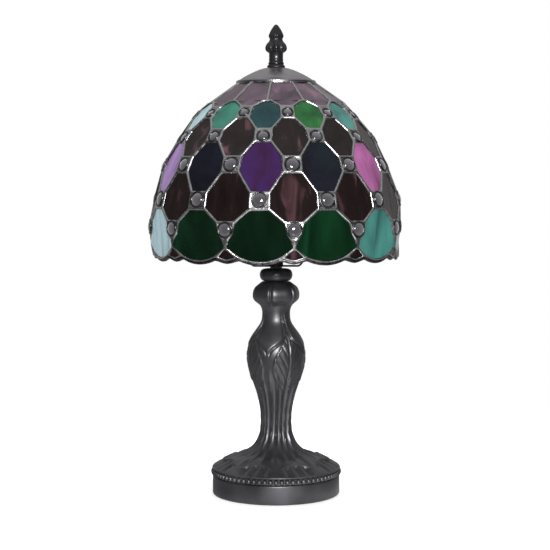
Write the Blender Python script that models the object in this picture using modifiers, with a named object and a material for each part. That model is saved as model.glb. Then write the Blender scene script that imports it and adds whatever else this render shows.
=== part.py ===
"""Leaded stained-glass table lamp: a cast stand, a socket with its bulb, a harp, and a glass shade.

Metres, +Z up. The origin is the centre of the flat underside. -Y is the front, +Y the back, where
the cord enters. Lengths in the tables and calls below are millimetres; scaled() turns them to metres.
"""

from math import atan2, cos, hypot, pi, radians, sin

import bmesh
import bpy
import numpy as np
from mathutils import Matrix, Vector

# ---- driving dimensions, millimetres -------------------------------------------------------
GAP = 0.3  # play between pieces that touch
SIDES = 24  # segments round a turned piece
FINE_SIDES = 16  # segments round a small turned piece
BULB_SIDES = 20

PLINTH_R = 51.2
PLINTH_TOP = 15.4
FOOT_R = 52.8
FOOT_TOP = 32.6
COLUMN_TOP = 171.2
NECK_TOP = 181.6

ROD_R = 4.9  # hollow M10 rod
ROD_BORE_R = 3.3
ROD_LOW, ROD_HIGH = 22.6, 198.0
SADDLE_Z = 181.9  # underside of the harp saddle
SADDLE_THICK = 1.8
SADDLE_FLAT = 18.6  # half length of the saddle's flat middle
SADDLE_REACH = 24.1  # middle of its upright ears, from the axis
SADDLE_EAR_Z = (188.0, 200.0)
SADDLE_WIDTH = 12.0
EAR_WIDTH = 4.4
HARP_WIRE_R = 1.5
HARP_LEG_X = 21.4
HARP_TOP = 335.6
SLEEVE_X = 22.5
SLEEVE_R = (3.7, 4.6)
SLEEVE_Z = (189.2, 201.2)

SOCKET_Z = 191.4  # bottom of the socket cap
SHELL_R = 16.4
SHELL_Z = (204.2, 243.0)
SWITCH_Z = 212.0
BULB_BASE_R = 12.9
BULB_SEAT = 217.2  # tip of the bulb's contact
BULB_GLOBE_R = 24.0
BULB_GLOBE_Z = 281.0

DOME_R = 99.9  # widest radius of the glass
DOME_HEIGHT = 123.5  # the dome curve's half height
DOME_CENTRE = 214.0  # height where the dome is widest
DOME_POWER = 1.8  # 2 would be an ellipse; less is more conical
DOME_TOP_R = 31.0  # radius where the glass meets the cap
GLASS = 2.6
SOLDER_LIFT = 0.6  # height of the solder's bed over the glass corners
SOLDER = 1.6

COLUMNS = 24  # glass and jewels alternate down and across
FRONT_COLUMN = -7.2  # degrees from the front to the first coloured column, + to +X
# each jewel row's cells: their top and bottom, down the dome from the crown, and half their width
JEWEL_ROWS = {
    "b": (34.5, 46.5, 4.6), "c": (57.7, 68.3, 5.9), "d": (81.9, 94.1, 6.6), "e": (110.3, 122.7, 7.3),
    "f": (132.8, 141.5, 6.8),
}
B_TOP = 28.0  # where the crown seams end on the first coloured row
B_TOP_HALF = 2.6
F_LOW_HALF = 4.8  # the lowest jewel cells narrow to this, then to the seam
F_SEAM = (146.4, 151.6)  # the short seam between two big bottom pieces
RIM_CORNER = (9.2, 159.0)  # where the small triangles meet the bottom pieces: across, down
RIM_TRIANGLE_LOW = 161.8
RIM_LOBE_DROP = 3.9
RIM_WIRE_R = 1.2
RIM_WIRE_DROP = 1.6  # from the glass corners down to the middle of the rim wire

CAP_Z = 341.6
STUD_R = 3.0
FINIAL_SEAT = 344.3
FINIAL_TOP = 376.0


# ---- materials -----------------------------------------------------------------------------
def material(name, colour, roughness, metallic=0.0):
    made = bpy.data.materials.new(name)
    made.use_nodes = True
    shader = made.node_tree.nodes["Principled BSDF"]
    shader.inputs["Base Color"].default_value = (*colour, 1.0)
    shader.inputs["Roughness"].default_value = roughness
    shader.inputs["Metallic"].default_value = metallic
    made.diffuse_color = (*colour, 1.0)
    return made


# ---- objects -------------------------------------------------------------------------------
def clear_scene():
    for old in list(bpy.data.objects):
        bpy.data.objects.remove(old, do_unlink=True)


def new_collection(name):
    made = bpy.data.collections.new(name)
    bpy.context.scene.collection.children.link(made)
    return made


def scaled(*values):
    return tuple(value / 1000.0 for value in values)


def place(name, mesh, look, group, axis_point=(0.0, 0.0, 0.0)):
    """An object with its origin on axis_point (mm); the mesh is given in world millimetres."""
    origin = Vector(scaled(*axis_point))
    mesh.transform(Matrix.Scale(0.001, 4))
    mesh.transform(Matrix.Translation(-origin))
    mesh.name = name
    made = bpy.data.objects.new(name, mesh)
    made.location = origin
    made.data.materials.append(look)
    group.objects.link(made)
    mesh.shade_smooth()
    mesh.set_sharp_from_angle(angle=radians(35))
    return made


def mesh_from(bm):
    mesh = bpy.data.meshes.new("piece")
    bm.to_mesh(mesh)
    bm.free()
    return mesh


def turned(name, profile, look, group, sides=SIDES, closed=True, centre=(0.0, 0.0)):
    """A piece turned about the upright axis through centre.

    profile lists (radius, height) clockwise, so it runs down the piece's outer side.
    """
    bm = bmesh.new()
    points = [bm.verts.new((radius, 0.0, height)) for radius, height in profile]
    for first, second in zip(points, points[1:]):
        bm.edges.new((first, second))
    if closed:
        bm.edges.new((points[-1], points[0]))
    mesh = mesh_from(bm)
    mesh.transform(Matrix.Translation((*centre, 0.0)))
    made = place(name, mesh, look, group, (*centre, 0.0))
    screw = made.modifiers.new("turn", "SCREW")
    screw.axis = "Z"
    screw.steps = sides
    screw.render_steps = sides
    screw.use_merge_vertices = True
    screw.merge_threshold = 0.00001
    screw.use_smooth_shade = True
    return made


def tube(name, low, high, inner, outer, look, group, sides=SIDES, centre=(0.0, 0.0)):
    profile = [(inner, high), (outer, high), (outer, low), (inner, low)]
    return turned(name, profile, look, group, sides, centre=centre)


def bar(points, radius, sides_level, cyclic=False):
    """A mesh in millimetres of a round bar through the points."""
    curve = bpy.data.curves.new("bar", "CURVE")
    curve.dimensions = "3D"
    curve.bevel_depth = radius
    curve.bevel_resolution = sides_level
    curve.use_fill_caps = not cyclic
    spline = curve.splines.new("POLY")
    spline.points.add(len(points) - 1)
    for slot, point in zip(spline.points, points):
        slot.co = (*point, 1.0)
    spline.use_cyclic_u = cyclic
    holder = bpy.data.objects.new("bar", curve)
    bpy.context.scene.collection.objects.link(holder)
    bpy.context.view_layer.update()
    shape = holder.evaluated_get(bpy.context.evaluated_depsgraph_get())
    mesh = bpy.data.meshes.new_from_object(shape)
    bpy.data.objects.remove(holder, do_unlink=True)
    bm = bmesh.new()
    bm.from_mesh(mesh)
    bmesh.ops.remove_doubles(bm, verts=bm.verts, dist=0.001)
    bmesh.ops.recalc_face_normals(bm, faces=bm.faces)
    bm.to_mesh(mesh)
    bm.free()
    return mesh


def cylinder_mesh(radius, start, end, sides):
    """A closed cylinder in millimetres between two points."""
    line = Vector(end) - Vector(start)
    bm = bmesh.new()
    bmesh.ops.create_cone(bm, cap_ends=True, segments=sides, radius1=radius, radius2=radius, depth=line.length)
    facing = line.to_track_quat("Z", "Y").to_matrix().to_4x4()
    middle = Matrix.Translation((Vector(start) + Vector(end)) / 2)
    bmesh.ops.transform(bm, matrix=middle @ facing, verts=bm.verts)
    return mesh_from(bm)


def box_mesh(low, high):
    """A closed box in millimetres between two corners."""
    low, high = Vector(low), Vector(high)
    bm = bmesh.new()
    bmesh.ops.create_cube(bm, size=1.0)
    bmesh.ops.scale(bm, vec=high - low, verts=bm.verts)
    bmesh.ops.translate(bm, vec=(low + high) / 2, verts=bm.verts)
    return mesh_from(bm)


def cut(target, cutter_mesh, cutters, steel):
    cutter = place("cut_" + target.name, cutter_mesh, steel, cutters)
    cutter.hide_render = True
    cutter.display_type = "WIRE"
    boolean = target.modifiers.new("cut", "BOOLEAN")
    boolean.operation = "DIFFERENCE"
    boolean.object = cutter


# ---- the stand -----------------------------------------------------------------------------
def build_base(looks, parts, cutters):
    """Felt, weight, plinth and foot, and the hardware that clamps them on the rod."""
    turned("felt_pad", [(0, 1.5), (48.6, 1.5), (48.6, 0), (0, 0)], looks["felt"], parts, closed=False)
    weight = tube("base_weight", 2.0, 12.4, 14.0, 45.4, looks["iron"], parts)
    channel = box_mesh((-4.4, 10.0, 0.0), (4.4, 50.0, 15.0))
    cut(weight, channel, cutters, looks["steel"])
    plinth = [
        (46.0, PLINTH_TOP), (PLINTH_R - 0.5, PLINTH_TOP), (PLINTH_R, PLINTH_TOP - 0.5), (PLINTH_R, GAP),
        (PLINTH_R - 2.2, GAP), (PLINTH_R - 2.2, PLINTH_TOP - 1.8), (46.0, PLINTH_TOP - 1.8),
    ]
    ring = turned("plinth_ring", plinth, looks["casting"], parts, sides=32)
    cord_hole = cylinder_mesh(4.3, (0, 44, 7.5), (0, 60, 7.5), FINE_SIDES)
    cut(ring, cord_hole, cutters, looks["steel"])
    foot = [
        (6.0, FOOT_TOP), (26.0, FOOT_TOP), (32.0, 31.0), (36.5, 28.9), (44.0, 26.4), (49.0, 24.1),
        (52.0, 21.8), (FOOT_R, 18.9), (52.4, PLINTH_TOP + GAP), (50.2, PLINTH_TOP + GAP), (50.0, 19.2), (44.0, 23.0),
        (34.0, 26.6), (24.0, 29.2), (6.0, 29.2),
    ]
    turned("foot_casting", foot, looks["casting"], parts, sides=32)
    tube("bottom_washer", 27.7, 28.9, 5.3, 10.6, looks["steel"], parts, FINE_SIDES)
    nut = place("bottom_nut", cylinder_mesh(8.6, (0, 0, 24.0), (0, 0, 27.4), 6), looks["steel"], parts)
    cut(nut, cylinder_mesh(5.3, (0, 0, 20.0), (0, 0, 30.0), FINE_SIDES), cutters, looks["steel"])
    build_bushing(looks, parts)


def build_bushing(looks, parts):
    """The flanged plastic bushing that lines the cord hole at the back."""
    profile = [(3.1, 53.0), (4.4, 53.0), (5.6, 52.3), (5.6, 51.5), (3.9, 51.5), (3.9, 47.2), (3.1, 47.2)]
    made = turned("cord_bushing", profile, looks["black_plastic"], parts, sides=FINE_SIDES)
    made.rotation_euler = (-pi / 2, 0.0, 0.0)
    made.location = scaled(0, 0, 7.5)


def build_column(looks, parts):
    """The pear-shaped stem with its knob, and the small collar on top, both threaded on the rod."""
    outside = [
        (6.0, COLUMN_TOP), (11.2, COLUMN_TOP), (13.9, 169.2), (17.0, 166.4), (18.5, 161.0),
        (17.6, 156.8), (14.4, 153.8), (11.6, 149.6), (10.9, 141.5), (12.6, 136.3),
        (19.0, 126.6), (22.6, 118.0), (23.1, 110.0), (21.6, 101.5),
        (15.8, 84.6), (12.6, 71.6), (11.6, 58.0), (13.0, 46.4),
        (17.2, 38.6), (23.6, FOOT_TOP + GAP),
    ]
    inside = [
        (17.0, FOOT_TOP + GAP), (9.0, 46.0), (8.8, 72.0), (18.2, 104.0), (18.2, 118.0), (8.2, 140.0), (6.0, 152.0),
    ]
    turned("column_casting", outside + inside, looks["casting"], parts)
    collar_low = COLUMN_TOP + GAP
    collar = [
        (5.4, NECK_TOP), (10.4, NECK_TOP), (12.5, 179.9), (13.1, 176.6), (12.7, 173.4),
        (11.2, collar_low), (5.4, collar_low),
    ]
    turned("neck_collar", collar, looks["casting"], parts)
    tube("threaded_rod", ROD_LOW, ROD_HIGH, ROD_BORE_R, ROD_R, looks["steel"], parts, FINE_SIDES)
    spacer_low = SADDLE_Z + SADDLE_THICK + GAP
    tube("spacer_tube", spacer_low, SOCKET_Z - GAP, 5.2, 5.7, looks["dark_steel"], parts, FINE_SIDES)


# ---- the harp ------------------------------------------------------------------------------
def build_saddle(looks, parts, cutters):
    """A strip bent up at both ends; its narrow ears take the harp's legs."""
    middle = SADDLE_Z + SADDLE_THICK / 2
    stations = [
        (-SADDLE_REACH, SADDLE_EAR_Z[1], EAR_WIDTH), (-SADDLE_REACH, SADDLE_EAR_Z[0], EAR_WIDTH),
        (-SADDLE_FLAT, middle, SADDLE_WIDTH), (SADDLE_FLAT, middle, SADDLE_WIDTH),
        (SADDLE_REACH, SADDLE_EAR_Z[0], EAR_WIDTH), (SADDLE_REACH, SADDLE_EAR_Z[1], EAR_WIDTH),
    ]
    bm = bmesh.new()
    rows = []
    for x, z, width in stations:
        rows.append([bm.verts.new((x, side * width / 2, z)) for side in (-1, 1)])
    for low, high in zip(rows, rows[1:]):
        bm.faces.new((low[0], high[0], high[1], low[1]))
    saddle = place("harp_saddle", mesh_from(bm), looks["dark_steel"], parts)
    thick = saddle.modifiers.new("thick", "SOLIDIFY")
    thick.thickness = SADDLE_THICK / 1000.0
    thick.offset = 0.0
    thick.use_even_offset = True
    cut(saddle, cylinder_mesh(5.3, (0, 0, 175), (0, 0, 190), FINE_SIDES), cutters, looks["steel"])


def harp_path():
    """Half of the harp from the left leg's foot to the top, then its mirror image."""
    guides = [
        (HARP_LEG_X, 190.4), (HARP_LEG_X, 204.0), (HARP_LEG_X, 217.0), (26.5, 236.0), (32.5, 258.0), (34.2, 277.0),
        (31.4, 297.0), (24.6, 314.0), (16.0, 326.5), (8.0, 333.4), (0.0, HARP_TOP),
    ]
    half = smooth_path(guides, 2)
    left = [(-x, 0.0, z) for x, z in half]
    right = [(x, 0.0, z) for x, z in reversed(half[:-1])]
    return left + right


def smooth_path(guides, steps):
    """Catmull-Rom points through the guide points, steps of them for each span."""
    ends = [guides[0], *guides, guides[-1]]
    path = []
    for before, start, end, after in zip(ends, ends[1:], ends[2:], ends[3:]):
        for step in range(steps):
            t = step / steps
            weights = (
                -0.5 * t + t * t - 0.5 * t**3,
                1 - 2.5 * t * t + 1.5 * t**3,
                0.5 * t + 2 * t * t - 1.5 * t**3,
                -0.5 * t * t + 0.5 * t**3,
            )
            near = (before, start, end, after)
            path.append(tuple(sum(w * p[axis] for w, p in zip(weights, near)) for axis in (0, 1)))
    path.append(guides[-1])
    return path


def build_harp(looks, parts):
    place("harp_wire", bar(harp_path(), HARP_WIRE_R, 1), looks["dark_steel"], parts)
    for side, x in (("left", -SLEEVE_X), ("right", SLEEVE_X)):
        tube("harp_sleeve_" + side, *SLEEVE_Z, *SLEEVE_R, looks["dark_steel"], parts, FINE_SIDES, centre=(x, 0.0))
    shoulder = HARP_TOP + HARP_WIRE_R + GAP
    stud = [
        (0.0, 352.4), (2.4, 352.4), (STUD_R, 351.6), (STUD_R, shoulder + 1.5), (6.2, shoulder + 1.5),
        (6.2, shoulder), (0.0, shoulder),
    ]
    turned("harp_stud", stud, looks["brass"], parts, FINE_SIDES, closed=False)


# ---- the socket and the bulb ---------------------------------------------------------------
def build_socket(looks, parts, cutters):
    cap = [
        (5.2, 196.6), (6.6, 197.0), (13.6, 202.6), (14.2, 207.6), (15.2, 207.6), (15.2, 202.4),
        (13.9, 199.6), (9.0, 194.6), (7.2, SOCKET_Z), (5.2, SOCKET_Z),
    ]
    turned("socket_cap", cap, looks["dark_steel"], parts)
    shell_low, shell_high = SHELL_Z
    shell = [
        (14.9, shell_high), (15.8, shell_high), (SHELL_R, shell_high - 1.2), (SHELL_R, shell_low),
        (15.7, shell_low), (15.7, shell_high - 1.4), (14.9, shell_high - 0.9),
    ]
    shell_piece = turned("socket_shell", shell, looks["dark_steel"], parts)
    sleeve = tube("insulating_sleeve", 208.2, 241.0, 14.7, 15.3, looks["fibre"], parts)
    for piece in (shell_piece, sleeve):
        hole = cylinder_mesh(2.8, (0, -10, SWITCH_Z), (0, -22, SWITCH_Z), FINE_SIDES)
        cut(piece, hole, cutters, looks["steel"])
    turned("lampholder_body", [(0, 215.6), (13.8, 215.6), (13.6, 208.0), (11.8, 203.6), (7.0, 200.2), (0, 200.2)],
           looks["porcelain"], parts, closed=False)
    screw_shell = [
        (13.3, 240.0), (13.9, 240.0), (13.9, 216.0), (8.0, 216.0), (8.0, 216.5), (13.3, 216.5),
    ]
    turned("screw_shell", screw_shell, looks["brass"], parts)
    leaf = cylinder_mesh(3.2, (0, 0, 215.9), (0, 0, BULB_SEAT - GAP), FINE_SIDES)
    place("centre_contact", leaf, looks["brass"], parts)


def build_switch(looks, parts):
    """A turn switch in the socket's front: a brass stem and a flat-sided knob."""
    stem = cylinder_mesh(2.2, (0, -14.2, SWITCH_Z), (0, -27.0, SWITCH_Z), FINE_SIDES)
    place("switch_stem", stem, looks["brass"], parts, (0.0, -14.2, SWITCH_Z))
    profile = [
        (0.0, 31.0), (5.4, 31.0), (6.4, 30.0), (6.4, 22.0), (4.6, 20.0), (4.6, 17.4), (2.6, 17.4), (2.6, 27.4),
        (0.0, 27.4),
    ]
    knob = turned("switch_knob", profile, looks["black_plastic"], parts, FINE_SIDES, closed=False)
    knob.rotation_euler = (pi / 2, 0.0, 0.0)
    knob.location = scaled(0, 0, SWITCH_Z)


def globe_outline(radius, neck_radius, neck_low, steps):
    """The bulb's outer wall from its crown down to its neck: a round globe on a waisted neck."""
    stop = radians(128)
    arc = [(radius * sin(stop * n / steps), BULB_GLOBE_Z + radius * cos(stop * n / steps)) for n in range(steps + 1)]
    return arc + [(neck_radius + 1.6, 253.5), (neck_radius, 248.5), (neck_radius, neck_low)]


def build_bulb(looks, parts):
    outer = globe_outline(BULB_GLOBE_R, 13.2, 241.4, 7)
    wall = 0.8
    inner = [(max(radius - wall, 0.0), height) for radius, height in reversed(outer)]
    inner[-1] = (0.0, outer[0][1] - wall)
    turned("bulb_glass", outer + inner, looks["opal"], parts, BULB_SIDES, closed=False)
    base = [(0.0, 241.1), (BULB_BASE_R, 241.1), (BULB_BASE_R, 222.4), (9.4, 220.6), (0.0, 220.6)]
    turned("bulb_base", base, looks["brass"], parts, closed=False)
    insulator = [(0.0, 220.3), (9.0, 220.3), (5.2, 218.7), (0.0, 218.7)]
    turned("bulb_insulator", insulator, looks["black_plastic"], parts, FINE_SIDES, closed=False)
    tip = [(0.0, 218.4), (4.2, 218.4), (2.8, BULB_SEAT), (0.0, BULB_SEAT)]
    turned("bulb_contact", tip, looks["steel"], parts, FINE_SIDES, closed=False)


# ---- the shade -----------------------------------------------------------------------------
def dome_table():
    """(distance down the dome, radius, height) every quarter millimetre of height, from the crown."""
    def radius_at(height):
        return DOME_R * (1 - (abs(height - DOME_CENTRE) / DOME_HEIGHT) ** DOME_POWER) ** (1 / DOME_POWER)

    crown = DOME_CENTRE + DOME_HEIGHT * (1 - (DOME_TOP_R / DOME_R) ** DOME_POWER) ** (1 / DOME_POWER)
    rows = [(0.0, DOME_TOP_R, crown)]
    while rows[-1][2] > DOME_CENTRE - 40:
        down, radius, height = rows[-1]
        lower = height - 0.25
        wider = radius_at(lower)
        rows.append((down + hypot(wider - radius, 0.25), wider, lower))
    return np.array(rows)


DOME = dome_table()


def dome_normal(turn, down):
    """The dome's outward direction."""
    step = 0.5
    run = np.interp(down + step, DOME[:, 0], DOME[:, 1]) - np.interp(down - step, DOME[:, 0], DOME[:, 1])
    fall = np.interp(down - step, DOME[:, 0], DOME[:, 2]) - np.interp(down + step, DOME[:, 0], DOME[:, 2])
    return Vector((fall * sin(turn), -fall * cos(turn), run)).normalized()


def dome_point(turn, down, lift=0.0):
    """A point on the dome, in millimetres: turn in radians from the front, down from the crown."""
    radius = np.interp(down, DOME[:, 0], DOME[:, 1])
    height = np.interp(down, DOME[:, 0], DOME[:, 2])
    return Vector((radius * sin(turn), -radius * cos(turn), height)) + lift * dome_normal(turn, down)


def spot(column, across, down):
    """A corner named by its column, its distance to the side of it, and its distance down."""
    radius = np.interp(down, DOME[:, 0], DOME[:, 1])
    turn = radians(FRONT_COLUMN + column * 360.0 / COLUMNS) + across / radius
    return (round(turn % (2 * pi), 6), down)


def jewel_corners(row, column):
    """Top left, top right, bottom right, (the lowest row's tip,) and bottom left of a jewel's cell."""
    top, low, half = JEWEL_ROWS[row]
    if row == "f":
        return [spot(column, -half, top), spot(column, half, top), spot(column, F_LOW_HALF, low),
                spot(column, 0, F_SEAM[0]), spot(column, -F_LOW_HALF, low)]
    return [spot(column, -half, top), spot(column, half, top), spot(column, half, low), spot(column, -half, low)]


def lobe_points(column):
    """The rounded lower edge of a big bottom piece, right to left, without its end corners."""
    across, down = RIM_CORNER
    radius = np.interp(down, DOME[:, 0], DOME[:, 1])
    reach = radius * 2 * pi / COLUMNS - across
    shares = (2 / 3, 1 / 3, 0, -1 / 3, -2 / 3)
    return [spot(column, reach * share, down + RIM_LOBE_DROP * (1 - share * share)) for share in shares]


def shade_cells():
    """{row: [cell outline, ...]}: every glass piece and jewel cell, corners clockwise seen from outside."""
    cells = {row: [] for row in "abcdef"}
    rim_across, rim_down = RIM_CORNER
    for column in range(0, COLUMNS, 2):
        right, left = column + 1, column - 1
        # crown piece over the brown column
        jewel = jewel_corners("b", right)
        cells["a"].append([
            spot(column, 0, 0), spot(right, 0, 0), spot(right + 1, 0, 0), spot(right + 1, 0, B_TOP),
            spot(right + 1, -B_TOP_HALF, B_TOP), jewel[1], jewel[0], spot(column, B_TOP_HALF, B_TOP),
            spot(column, 0, B_TOP),
        ])
        # first coloured row
        side_r, side_l, under = jewel_corners("b", right), jewel_corners("b", left), jewel_corners("c", column)
        cells["b"].append([
            spot(column, -B_TOP_HALF, B_TOP), spot(column, 0, B_TOP), spot(column, B_TOP_HALF, B_TOP),
            side_r[0], side_r[3], under[1], under[0], side_l[2], side_l[1],
        ])
        # the three rows of eight-sided pieces
        for row, above, below, place_in in (("c", "b", "d", right), ("d", "c", "e", column), ("e", "d", "f", right)):
            over, under = jewel_corners(above, place_in), jewel_corners(below, place_in)
            side_r, side_l = jewel_corners(row, place_in + 1), jewel_corners(row, place_in - 1)
            cells[row].append([over[3], over[2], side_r[0], side_r[3], under[1], under[0], side_l[2], side_l[1]])
        # big bottom piece, and the small triangle beside it
        over, side_r, side_l = jewel_corners("e", column), jewel_corners("f", right), jewel_corners("f", left)
        cells["f"].append([
            over[3], over[2], side_r[0], side_r[4], side_r[3], spot(right, 0, F_SEAM[1]),
            spot(right, -rim_across, rim_down), *lobe_points(column), spot(left, rim_across, rim_down),
            spot(left, 0, F_SEAM[1]), side_l[3], side_l[2], side_l[1],
        ])
        cells["f"].append([
            spot(right, 0, F_SEAM[1]), spot(right, rim_across, rim_down), spot(right, 0, RIM_TRIANGLE_LOW),
            spot(right, -rim_across, rim_down),
        ])
        for row, place_in in (("b", right), ("c", column), ("d", right), ("e", column), ("f", right)):
            cells[row].append(jewel_corners(row, place_in))
    return cells


def cell_mesh(outlines, lift):
    """A bmesh of the cells, sharing their corners, on the dome raised by lift."""
    bm = bmesh.new()
    corners = {}
    for outline in outlines:
        for key in outline:
            if key not in corners:
                corners[key] = bm.verts.new(dome_point(*key, lift))
        bm.faces.new([corners[key] for key in reversed(outline)])
    bmesh.ops.recalc_face_normals(bm, faces=bm.faces)
    if sum(face.normal.dot(face.calc_center_median() - Vector((0, 0, DOME_CENTRE))) for face in bm.faces) < 0:
        bmesh.ops.reverse_faces(bm, faces=bm.faces)
    return bm


def thicken_inwards(bm, thickness):
    """Give the sheet of cells a second face, thickness inside the dome, and close its edges."""
    outside = list(bm.faces)
    extruded = bmesh.ops.extrude_face_region(bm, geom=outside, use_keep_orig=True)
    inside = [item for item in extruded["geom"] if isinstance(item, bmesh.types.BMVert)]
    heights = DOME[::-1, 2]
    for vert in inside:
        turn = atan2(vert.co.x, -vert.co.y)
        down = np.interp(vert.co.z, heights, DOME[::-1, 0])
        vert.co -= thickness * dome_normal(turn, down)
    bmesh.ops.recalc_face_normals(bm, faces=bm.faces)


def build_glass(looks, parts, cells):
    """One ring for each row: its glass pieces with the seats of the jewels between them."""
    for row, outlines in cells.items():
        bm = cell_mesh(outlines, 0.0)
        kept = list(bm.faces)
        inset = bmesh.ops.inset_region(bm, faces=kept, thickness=GAP, use_boundary=True, use_even_offset=True)
        bmesh.ops.delete(bm, geom=inset["faces"], context="FACES")
        thicken_inwards(bm, GLASS)
        place("glass_row_" + row, mesh_from(bm), looks["glass_" + row], parts)


def build_lattice(looks, parts, cells):
    """The solder lines that hold all the pieces, one connected web on the outside of the glass."""
    everything = [outline for outlines in cells.values() for outline in outlines]
    bm = cell_mesh(everything, SOLDER_LIFT + SOLDER / 2)
    bmesh.ops.wireframe(
        bm, faces=bm.faces, thickness=SOLDER, offset=0.0, use_replace=True, use_boundary=True,
        use_even_offset=True, use_crease=False, crease_weight=0.0, use_relative_offset=False, material_offset=0,
    )
    place("solder_lattice", mesh_from(bm), looks["solder"], parts)


def build_rim(looks, parts):
    """A stiff wire soldered all along the scalloped lower edge."""
    across, down = RIM_CORNER
    keys = []
    for column in range(0, COLUMNS, 2):
        keys += [spot(column - 1, across, down), *reversed(lobe_points(column)), spot(column + 1, -across, down),
                 spot(column + 1, 0, RIM_TRIANGLE_LOW)]
    points = [dome_point(turn, low + RIM_WIRE_DROP, -GLASS / 2) for turn, low in keys]
    place("rim_wire", bar(points, RIM_WIRE_R, 0, cyclic=True), looks["solder"], parts)


def build_crown(looks, parts):
    """The metal cap, the ring that the top glass is soldered to, and the washer on the harp's stud."""
    cap = [
        (3.8, CAP_Z), (10.0, CAP_Z - 0.2), (14.5, 340.3), (19.0, 338.0), (24.6, 335.5), (29.4, 332.6),
        (30.8, 330.8), (30.2, 329.4), (29.2, 329.4), (29.4, 331.0), (23.8, 334.3), (14.0, 339.0), (3.8, CAP_Z - 1.1),
    ]
    turned("shade_cap", cap, looks["cap"], parts)
    tube("crown_ring", 326.4, 328.2, 25.0, 28.6, looks["brass"], parts)
    tube("cap_washer", 339.2, CAP_Z - 1.9, 3.4, 6.4, looks["steel"], parts, FINE_SIDES)


def build_finial(looks, parts):
    washer_low = CAP_Z + GAP
    washer = [
        (3.5, FINIAL_SEAT - GAP), (6.4, FINIAL_SEAT - GAP), (7.2, washer_low + 0.8), (7.2, washer_low), (3.5, washer_low),
    ]
    turned("finial_washer", washer, looks["dark_steel"], parts, FINE_SIDES)
    finial = [
        (0.0, FINIAL_TOP), (1.7, 375.0), (3.7, 372.2), (5.3, 369.5), (6.2, 367.0), (5.4, 364.8), (6.0, 362.3),
        (7.6, 359.6), (8.1, 357.2), (7.3, 354.6), (5.7, 353.2), (5.7, 347.4), (6.2, 345.6), (5.8, FINIAL_SEAT),
        (STUD_R + 0.4, FINIAL_SEAT), (STUD_R + 0.4, 353.4), (0.0, 353.4),
    ]
    turned("finial", finial, looks["casting"], parts, closed=False)


def main():
    clear_scene()
    parts = new_collection("stained_glass_table_lamp")
    cutters = new_collection("cutters")
    looks = {
        "felt": material("felt", (0.03, 0.05, 0.04), 0.95),
        "iron": material("cast_iron", (0.07, 0.07, 0.07), 0.8, 0.6),
        "casting": material("gunmetal_casting", (0.06, 0.06, 0.065), 0.45, 0.8),
        "steel": material("zinc_steel", (0.55, 0.56, 0.57), 0.35, 1.0),
        "dark_steel": material("dark_steel", (0.05, 0.05, 0.05), 0.4, 0.8),
        "brass": material("brass", (0.6, 0.45, 0.2), 0.3, 1.0),
        "black_plastic": material("black_plastic", (0.02, 0.02, 0.02), 0.4),
        "porcelain": material("porcelain", (0.8, 0.79, 0.75), 0.3),
        "fibre": material("fibre_board", (0.5, 0.38, 0.24), 0.8),
        "opal": material("opal_bulb_glass", (0.93, 0.93, 0.9), 0.25),
        "cap": material("cap_metal", (0.22, 0.21, 0.23), 0.35, 0.9),
        "solder": material("dark_solder", (0.35, 0.35, 0.36), 0.3, 1.0),
        "glass_a": material("mauve_crown_glass", (0.30, 0.24, 0.29), 0.15),
        "glass_b": material("green_glass", (0.07, 0.33, 0.25), 0.12),
        "glass_c": material("brown_glass_upper", (0.12, 0.06, 0.06), 0.12),
        "glass_d": material("violet_glass", (0.16, 0.06, 0.30), 0.12),
        "glass_e": material("brown_glass_lower", (0.13, 0.07, 0.07), 0.12),
        "glass_f": material("dark_green_glass", (0.01, 0.09, 0.04), 0.12),
    }
    build_base(looks, parts, cutters)
    build_column(looks, parts)
    build_saddle(looks, parts, cutters)
    build_harp(looks, parts)
    build_socket(looks, parts, cutters)
    build_switch(looks, parts)
    build_bulb(looks, parts)
    cells = shade_cells()
    build_glass(looks, parts, cells)
    build_lattice(looks, parts, cells)
    build_rim(looks, parts)
    build_crown(looks, parts)
    build_finial(looks, parts)


main()
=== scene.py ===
"""A leaded stained-glass table lamp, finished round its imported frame.

Lengths in the profiles and constants are millimetres; piece() turns a finished mesh into metres.
-Y is the front, +Z is up, and every piece keeps the frame's own origin.
"""

from math import atan2, cos, exp, floor, hypot, pi, radians, sin

import bmesh
import bpy
from mathutils import Matrix, Vector


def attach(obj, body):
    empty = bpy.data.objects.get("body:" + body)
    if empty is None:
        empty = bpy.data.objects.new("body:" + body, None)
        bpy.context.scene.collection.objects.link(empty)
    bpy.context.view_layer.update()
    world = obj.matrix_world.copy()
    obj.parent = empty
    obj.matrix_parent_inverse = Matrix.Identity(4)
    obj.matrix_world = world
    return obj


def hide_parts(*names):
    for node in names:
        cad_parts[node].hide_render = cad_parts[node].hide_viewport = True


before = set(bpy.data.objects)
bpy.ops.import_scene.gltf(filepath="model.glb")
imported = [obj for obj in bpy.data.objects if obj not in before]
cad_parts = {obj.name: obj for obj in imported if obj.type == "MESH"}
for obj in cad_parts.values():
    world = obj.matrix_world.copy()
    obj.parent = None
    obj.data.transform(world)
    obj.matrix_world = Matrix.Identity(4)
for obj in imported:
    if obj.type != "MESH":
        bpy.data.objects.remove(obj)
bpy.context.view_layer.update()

# ---- the shade's layout, as in the frame -----------------------------------------------------
# the dome's section is a superellipse about the lamp's axis, cut off at the crown
DOME_R = 99.9
DOME_HEIGHT = 123.5
DOME_CENTRE = 214.0
DOME_POWER = 1.8
DOME_TOP_R = 31.0
DOME_STEP = 0.25  # height between the rows of the dome's table
DOME_SKIRT = 40.0  # how far the table runs on below the dome's widest height
GLASS = 2.6  # thickness of the glass
COLUMNS = 24
FRONT_COLUMN = -7.2  # how far column 0 is turned from the front, in degrees
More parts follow.
